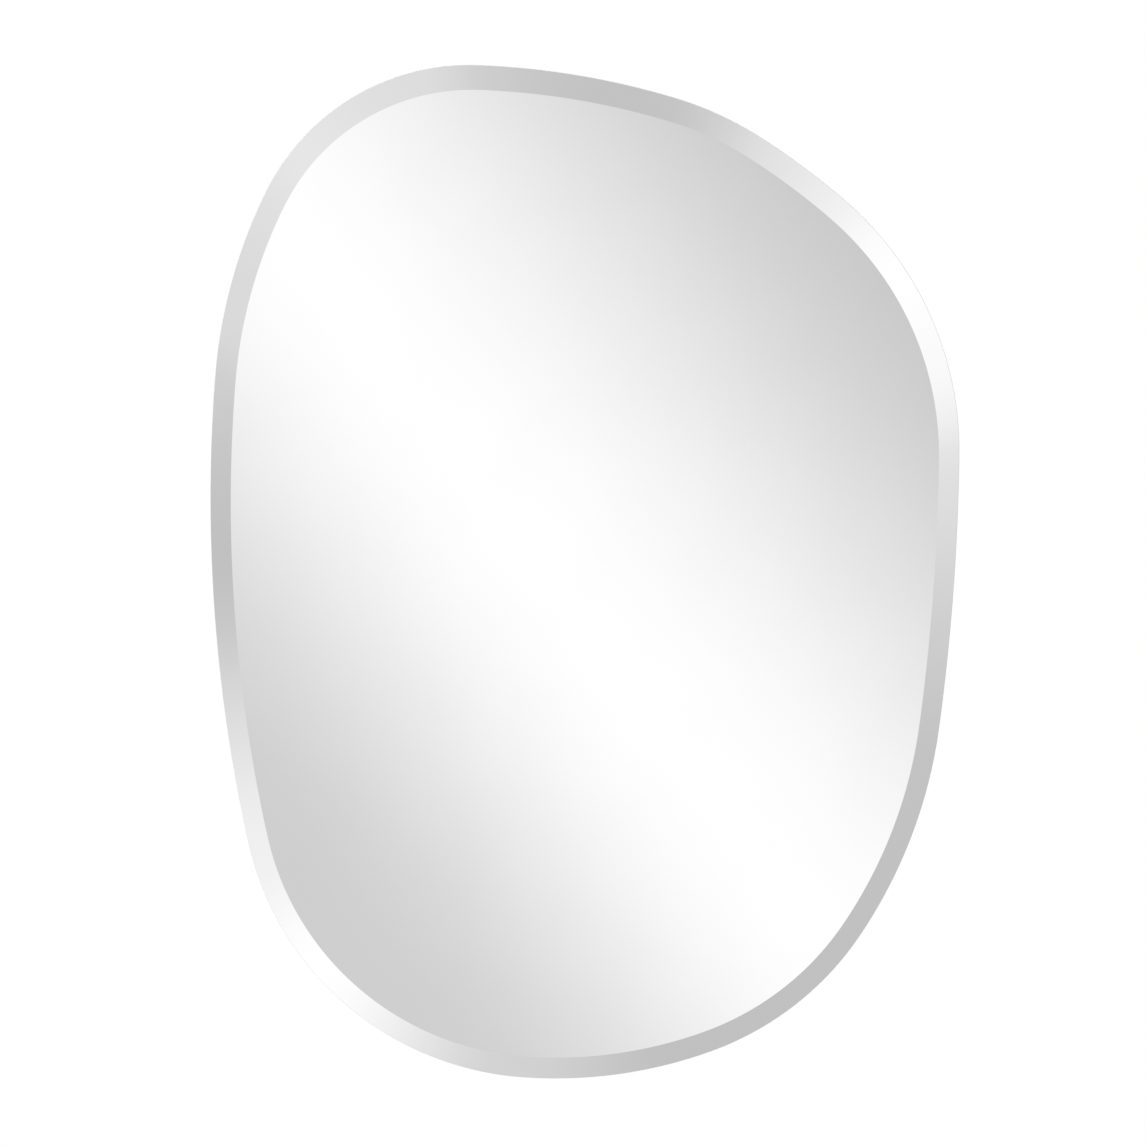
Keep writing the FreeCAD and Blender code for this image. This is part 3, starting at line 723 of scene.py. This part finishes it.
wire = drawn_wire()
for hanger in HANGERS:
    ring = copy_of_node(f"d_ring_{hanger}", f"wire_ring_{hanger}")
    bpy.ops.object.shade_smooth_by_angle(angle=RING_CORNER_ANGLE)
    ring.data.materials.clear()
    ring.data.materials.append(wire)
    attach(ring, f"ring_{hanger}")
    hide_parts(f"d_ring_{hanger}")


# The hanger screws ---------------------------------------------------------------------------
# Zinc-plated wood screws with a pan head and a cross recess, two through each strap into the
# board. One is modelled and copied, and each is left turned as the driver left it.

HEAD_HEIGHT = 0.0022
HEAD_ROUNDING = 0.0013
HEAD_SIDES = 48
ROUNDING_STEPS = 6
SHANK_RADIUS = 0.00175
SHANK_TIP = 0.003
TIP_TAPER = (0.1, 1, 0.1)
RECESS_SPAN = 0.0040
RECESS_WIDTH = 0.00095
RECESS_DEPTH = 0.0015
RECESS_TAPER = (0.42, 1, 0.75)
RECESS_CENTRE_RADIUS = 0.00095
RECESS_CENTRE_SIDES = 24
STAMPED_EDGE = 0.00006
SCREW_CORNER_ANGLE = math.radians(40)
SCREW_TURNS = (12, 67, 31, 5, 78, 44, 20, 55)
SCREW_BRIGHT = (0.70, 0.69, 0.62, 1.0)
SCREW_DULL = (0.50, 0.49, 0.45, 1.0)
SCREW_ROUGHNESS = (0.2, 0.4)
SCREW_CLOUDS = 400.0
SCREW_MARKS = 2500.0
MARK_DEPTH = 0.000008


def screw_zinc():
    finish, tree, shader, place = new_finish("screw_zinc", metallic=1.0)
    clouds = add_noise(tree, place, SCREW_CLOUDS)
    set_colour(tree, shader, add_tones(tree, clouds, (0.3, SCREW_DULL), (0.6, SCREW_BRIGHT)))
    marks = add_noise(tree, place, SCREW_MARKS, detail=2.0)
    set_roughness(tree, shader, marks, SCREW_ROUGHNESS)
    add_bump(tree, marks, MARK_DEPTH, shader)
    return finish


def add_disc(name, sides, radius, low, high):
    """A disc that faces along Y, as deep as the box from low to high and in its middle."""
    bpy.ops.object.select_all(action="DESELECT")
    bpy.ops.mesh.primitive_cylinder_add(
        vertices=sides,
        radius=radius,
        depth=high.y - low.y,
        location=(low + high) / 2,
        rotation=(math.pi / 2, 0, 0),
    )
    disc = bpy.context.active_object
    disc.name = name
    bpy.ops.object.transform_apply(location=True, rotation=True, scale=True)
    return disc


def round_rear_edge(piece, radius):
    """Opens the piece in edit mode and rounds the edge of the face that looks at the wall."""
    edit(piece)
    select_faces(piece, lambda face: face.normal.y > FLAT_FACING)
    bpy.ops.mesh.bevel(offset=radius, segments=ROUNDING_STEPS, affect="EDGES")


def cut_out(piece, cutter):
    """Cuts the cutter's shape out of the piece, and removes the cutter."""
    pick(piece)
    recess = piece.modifiers.new("recess", "BOOLEAN")
    recess.operation = "DIFFERENCE"
    recess.object = cutter
    bpy.ops.object.modifier_apply(modifier=recess.name)
    bpy.data.objects.remove(cutter)


def recess_blade(turn):
    """One bar of the cross recess, narrower at its bottom and standing out over the head."""
    middle = (0, HEAD_HEIGHT - RECESS_DEPTH / 2, 0)
    bottom = (0, HEAD_HEIGHT - RECESS_DEPTH, 0)
    bpy.ops.object.select_all(action="DESELECT")
    bpy.ops.mesh.primitive_cube_add(size=1, location=middle)
    blade = bpy.context.active_object
    blade.scale = (RECESS_SPAN, RECESS_DEPTH, RECESS_WIDTH)
    bpy.ops.object.transform_apply(location=True, rotation=True, scale=True)
    edit(blade)
    select_points(blade, lambda co: co.y < middle[1])
    bpy.ops.transform.resize(value=RECESS_TAPER, center_override=bottom)
    select_faces(blade, lambda face: face.normal.y > FLAT_FACING)
    push_out(RECESS_DEPTH)
    bpy.ops.object.mode_set(mode="OBJECT")
    blade.rotation_euler = (0, turn, 0)
    return blade


def model_screw(head_radius, shank_length):
    """A screw at the origin, with the underside of its head at y = 0 and its tip at -Y."""
    top = Vector((0, HEAD_HEIGHT, 0))
    screw = add_disc("screw_pattern", HEAD_SIDES, head_radius, Vector(), top)
    round_rear_edge(screw, HEAD_ROUNDING)
    select_faces(screw, lambda face: face.normal.y < -FLAT_FACING)
    draw_in(head_radius - SHANK_RADIUS)
    push_out(SHANK_TIP - shank_length)
    push_out(-SHANK_TIP)
    bpy.ops.transform.resize(value=TIP_TAPER, center_override=(0, -shank_length, 0))
    bpy.ops.object.mode_set(mode="OBJECT")
    for turn in (0, math.pi / 2):
        cut_out(screw, recess_blade(turn))
    # The cone in the middle of the cross has its centre radius level with the head's top.
    bpy.ops.mesh.primitive_cone_add(
        vertices=RECESS_CENTRE_SIDES,
        radius1=2 * RECESS_CENTRE_RADIUS,
        radius2=0,
        depth=2 * RECESS_DEPTH,
        location=top,
        rotation=(math.pi / 2, 0, 0),
    )
    cut_out(screw, bpy.context.active_object)
    soften(screw, STAMPED_EDGE, SCREW_CORNER_ANGLE)
    screw.data.materials.clear()
    screw.data.materials.append(screw_zinc())
    return screw


screw_nodes = [f"hanger_screw_{hanger}_{end}" for hanger in HANGERS for end in ("near", "far")]
first_low, first_high = corners_of(screw_nodes[0])
head_radius = (first_high.x - first_low.x) / 2
screw_length = first_high.y - first_low.y
pattern = model_screw(head_radius, screw_length - HEAD_HEIGHT)
for node, turn in zip(screw_nodes, SCREW_TURNS):
    low, high = corners_of(node)
    pick(pattern)
    bpy.ops.object.duplicate()
    screw = bpy.context.active_object
    screw.name = node.replace("hanger_screw", "pan_screw")
    screw.rotation_euler = (0, math.radians(turn), 0)
    screw.location = ((low.x + high.x) / 2, high.y - HEAD_HEIGHT, (low.z + high.z) / 2)
    bpy.ops.object.transform_apply(location=True, rotation=True, scale=True)
    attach(screw, "mirror")
    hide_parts(node)
bpy.data.objects.remove(pattern)


# The wall bumpers ----------------------------------------------------------------------------
# Four soft rubber bumpers, stuck near the board's edge. They keep the board off the wall and
# stop the mirror from sliding or scratching the paint.

BUMPER_ROUNDING = 0.0012
BUMPER_SIDES = 64
BUMPER_CORNER_ANGLE = math.radians(40)
RUBBER_BLACK = (0.018, 0.018, 0.019, 1.0)
RUBBER_GREY = (0.045, 0.045, 0.047, 1.0)
RUBBER_ROUGHNESS = (0.5, 0.75)
RUBBER_BLOOM = 350.0
RUBBER_GRAIN = 3000.0
GRAIN_DEPTH = 0.00004


def moulded_rubber():
    finish, tree, shader, place = new_finish("moulded_rubber")
    bloom = add_noise(tree, place, RUBBER_BLOOM, detail=5.0)
    set_colour(tree, shader, add_tones(tree, bloom, (0.35, RUBBER_BLACK), (0.75, RUBBER_GREY)))
    grain = add_noise(tree, place, RUBBER_GRAIN, detail=2.0)
    set_roughness(tree, shader, grain, RUBBER_ROUGHNESS)
    add_bump(tree, grain, GRAIN_DEPTH, shader)
    return finish


rubber = moulded_rubber()
for corner in ("top_left", "upper_right", "lower_left", "lower_right"):
    low, high = corners_of(f"wall_bumper_{corner}")
    bumper = add_disc(
        f"rubber_bumper_{corner}", BUMPER_SIDES, (high.x - low.x) / 2, low, high
    )
    round_rear_edge(bumper, BUMPER_ROUNDING)
    close_up(BUMPER_CORNER_ANGLE)
    bumper.data.materials.append(rubber)
    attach(bumper, "mirror")
    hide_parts(f"wall_bumper_{corner}")


# The floor -----------------------------------------------------------------------------------
# A plain pale studio floor below the hanging mirror. Its shading and shadows show round the
# middle and fade to the white background towards its edge. From below it is clear.

FLOOR_LEVEL = -1.1
FLOOR_RADIUS = 2.2
FLOOR_SIDES = 96
FLOOR_FADE_START = 0.9
FLOOR_FADE_END = 2.1
FLOOR_PALE = (0.86, 0.86, 0.86, 1.0)
FLOOR_SHADE = (0.85, 0.85, 0.85, 1.0)
FLOOR_ROUGHNESS = 0.7
FLOOR_SHINE = 0.2
FLOOR_MOTTLE = 5.0


def add_length(tree, vector):
    length = tree.nodes.new("ShaderNodeVectorMath")
    length.operation = "LENGTH"
    tree.links.new(vector, length.inputs[0])
    return length.outputs["Value"]


def mix_shaders(tree, share, first, second):
    mix = tree.nodes.new("ShaderNodeMixShader")
    for socket, output in zip(mix.inputs, (share, first, second)):
        tree.links.new(output, socket)
    return mix.outputs["Shader"]


def pale_floor():
    finish, tree, shader, place = new_finish("pale_floor")
    mottle = add_noise(tree, place, FLOOR_MOTTLE)
    set_colour(tree, shader, add_tones(tree, mottle, (0.3, FLOOR_SHADE), (0.7, FLOOR_PALE)))
    shader.inputs["Roughness"].default_value = FLOOR_ROUGHNESS
    shader.inputs["Specular IOR Level"].default_value = FLOOR_SHINE
    from_middle = add_length(tree, place)
    fade = add_range(tree, from_middle, 0.0, 1.0, FLOOR_FADE_START, FLOOR_FADE_END)
    rays = tree.nodes.new("ShaderNodeLightPath").outputs
    seen_fade = add_maths(tree, "MULTIPLY", fade, rays["Is Camera Ray"])
    white = tree.nodes.new("ShaderNodeEmission").outputs["Emission"]
    from_above = mix_shaders(tree, seen_fade, shader.outputs["BSDF"], white)
    from_below = tree.nodes.new("ShaderNodeNewGeometry").outputs["Backfacing"]
    clear = tree.nodes.new("ShaderNodeBsdfTransparent").outputs["BSDF"]
    one_sided = mix_shaders(tree, from_below, from_above, clear)
    tree.links.new(one_sided, tree.nodes["Material Output"].inputs["Surface"])
    return finish


bpy.ops.object.select_all(action="DESELECT")
bpy.ops.mesh.primitive_circle_add(
    vertices=FLOOR_SIDES, radius=FLOOR_RADIUS, fill_type="NGON", location=(0, 0, FLOOR_LEVEL)
)
floor = bpy.context.active_object
floor.name = "studio_floor"
floor.visible_glossy = False
floor.data.materials.append(pale_floor())


# The studio round it -------------------------------------------------------------------------
# The background is white. The mirror sees soft panels: one white band from the upper left to
# the lower right between pale greys, and round it the panels that show in the bevel.

SOFT_LEVEL = 0.55
PANEL_LEVEL = 1.02
WHITE_LEVEL = 1.0
VIEW_AZIMUTH = math.radians(3)
VIEW_ELEVATION = math.radians(8)
FULL_TURN = 2 * math.pi
BAND_LEAN = math.radians(37.84)
BAND_START = -0.25
BAND_REPEAT = 0.27
# Each stop of the bands is a share of the repeat, and its level.
FACE_BANDS = ((0.0, 0.60), (0.125, 0.62), (0.44, 1.0), (0.88, 0.56), (1.0, 0.60))
# Each stop round the bevel is in degrees on from PANELS_TURN, with its level.
PANELS_TURN = math.radians(315)
BEVEL_PANELS = (
    (0, 0.53),
    (30, 0.54),
    (65, 0.95),
    (80, 1.0),
    (125, 0.54),
    (150, 0.72),
    (180, 0.79),
    (205, 0.70),
    (225, 0.53),
    (245, 0.87),
    (270, 1.0),
    (310, 0.64),
    (330, 0.53),
    (360, 0.53),
)
BEVEL_REACH_START = (0.22, 0.33)
BEVEL_REACH_END = (0.44, 0.56)
# Each stop behind is a share of the way from straight down to straight up, and its level.
REAR_PANELS = ((0.0, 0.55), (0.42, 0.30), (0.5, 0.45), (0.62, 1.0), (0.8, 1.0), (1.0, 0.7))
REAR_FADE = (-0.35, -0.05)


def grey(level):
    return (level, level, level, 1.0)


def add_panels(tree, value, stops):
    """Soft greys that ease from one to the next, each given as (place from 0 to 1, level)."""
    tones = add_tones(tree, value, *[(place, grey(level)) for place, level in stops])
    tones.node.color_ramp.interpolation = "EASE"
    return tones


def add_vector_maths(tree, operation, vector, constant):
    node = tree.nodes.new("ShaderNodeVectorMath")
    node.operation = operation
    tree.links.new(vector, node.inputs[0])
    node.inputs[1].default_value = constant
    return node.outputs


def add_step(tree, value, edges, low=0.0, high=1.0):
    """Goes smoothly from low to high where the value lies between the edges."""
    step = add_range(tree, value, low, high, *edges)
    step.node.interpolation_type = "SMOOTHSTEP"
    return step


def add_background(tree, level):
    background = tree.nodes.new("ShaderNodeBackground")
    background.inputs["Color"].default_value = grey(1.0)
    background.inputs["Strength"].default_value = level
    return background


to_camera = Vector(
    (
        math.sin(VIEW_AZIMUTH) * math.cos(VIEW_ELEVATION),
        -math.cos(VIEW_AZIMUTH) * math.cos(VIEW_ELEVATION),
        math.sin(VIEW_ELEVATION),
    )
)
world = bpy.data.worlds.new("studio")
bpy.context.scene.world = world
world.use_nodes = True
tree = world.node_tree
tree.nodes.clear()
direction = tree.nodes.new("ShaderNodeTexCoord").outputs["Generated"]

# What the face shows: straight bands across the direction of reflection.
across_bands = (math.cos(BAND_LEAN), 0, math.sin(BAND_LEAN))
across = add_vector_maths(tree, "DOT_PRODUCT", direction, across_bands)["Value"]
from_start = add_maths(tree, "SUBTRACT", across, BAND_START)
in_band = add_maths(tree, "FLOORED_MODULO", from_start, BAND_REPEAT)
bands = add_panels(tree, add_maths(tree, "DIVIDE", in_band, BAND_REPEAT), FACE_BANDS)

# What the bevel shows: greys that change round the mirrored view, as it lies across Y.
mirrored_view = (-to_camera.x, 0, -to_camera.z)
flat_direction = add_vector_maths(tree, "MULTIPLY", direction, (1, 0, 1))["Vector"]
off_view = add_vector_maths(tree, "SUBTRACT", flat_direction, mirrored_view)["Vector"]
parts = add_parts(tree, off_view)
angle = add_maths(tree, "ARCTAN2", parts["Z"], parts["X"])
turned = add_maths(tree, "SUBTRACT", angle, PANELS_TURN)
wrapped = add_maths(tree, "FLOORED_MODULO", turned, FULL_TURN)
round_view = add_maths(tree, "DIVIDE", wrapped, FULL_TURN)
ring_panels = add_panels(
    tree, round_view, [(degrees / 360, level) for degrees, level in BEVEL_PANELS]
)
reach = add_length(tree, off_view)
ring = add_maths(
    tree,
    "MULTIPLY",
    add_step(tree, reach, BEVEL_REACH_START),
    add_step(tree, reach, BEVEL_REACH_END, low=1.0, high=0.0),
)
front_panels = mix_colours(tree, ring, bands, ring_panels)

# What the metal behind shows: a dim room below and a bright ceiling.
heading = add_parts(tree, direction)
height = add_range(tree, heading["Z"], 0.0, 1.0, -1.0, 1.0)
rear_panels = add_panels(tree, height, REAR_PANELS)
panels = mix_colours(
    tree, add_step(tree, heading["Y"], REAR_FADE), front_panels, rear_panels
)

rays = tree.nodes.new("ShaderNodeLightPath").outputs
soft_light = add_background(tree, SOFT_LEVEL).outputs["Background"]
reflected = add_background(tree, PANEL_LEVEL)
tree.links.new(panels, reflected.inputs["Color"])
white = add_background(tree, WHITE_LEVEL).outputs["Background"]
lit = mix_shaders(tree, rays["Is Glossy Ray"], soft_light, reflected.outputs["Background"])
seen_direct = add_maths(tree, "MAXIMUM", rays["Is Camera Ray"], rays["Is Transmission Ray"])
seen = mix_shaders(tree, seen_direct, lit, white)
tree.links.new(seen, tree.nodes.new("ShaderNodeOutputWorld").inputs["Surface"])


# The lamps -----------------------------------------------------------------------------------
# Two large soft lamps, one before the mirror at the upper left and one behind it at the upper
# right. Polished faces show the panels, not the lamps.

LAMP_PLACES = {"front_lamp": (-2.2, -3.2, 2.6), "rear_lamp": (2.2, 3.2, 2.6)}
LAMP_SIZE = 2.4
LAMP_POWER = 120.0
for name, place in LAMP_PLACES.items():
    aim = (-Vector(place)).to_track_quat("-Z", "Y").to_euler()
    bpy.ops.object.light_add(type="AREA", location=place, rotation=aim)
    lamp = bpy.context.active_object
    lamp.name = name
    lamp.data.size = LAMP_SIZE
    lamp.data.energy = LAMP_POWER
    lamp.visible_glossy = False


# The camera ----------------------------------------------------------------------------------
# It stands a little to the right of the mirror and above it, about 4 m away, with a long lens.

VIEW_CENTRE = Vector((-0.0083, -0.0219, 0.0066))
VIEW_DISTANCE = 3.981
LENS = 140.2
SENSOR_WIDTH = 36.0

aim = (-to_camera).to_track_quat("-Z", "Y").to_euler()
bpy.ops.object.camera_add(location=VIEW_CENTRE + to_camera * VIEW_DISTANCE, rotation=aim)
camera = bpy.context.active_object
camera.name = "camera"
camera.data.sensor_width = SENSOR_WIDTH
camera.data.lens = LENS
bpy.context.scene.camera = camera
bpy.context.scene.view_settings.view_transform = "Standard"
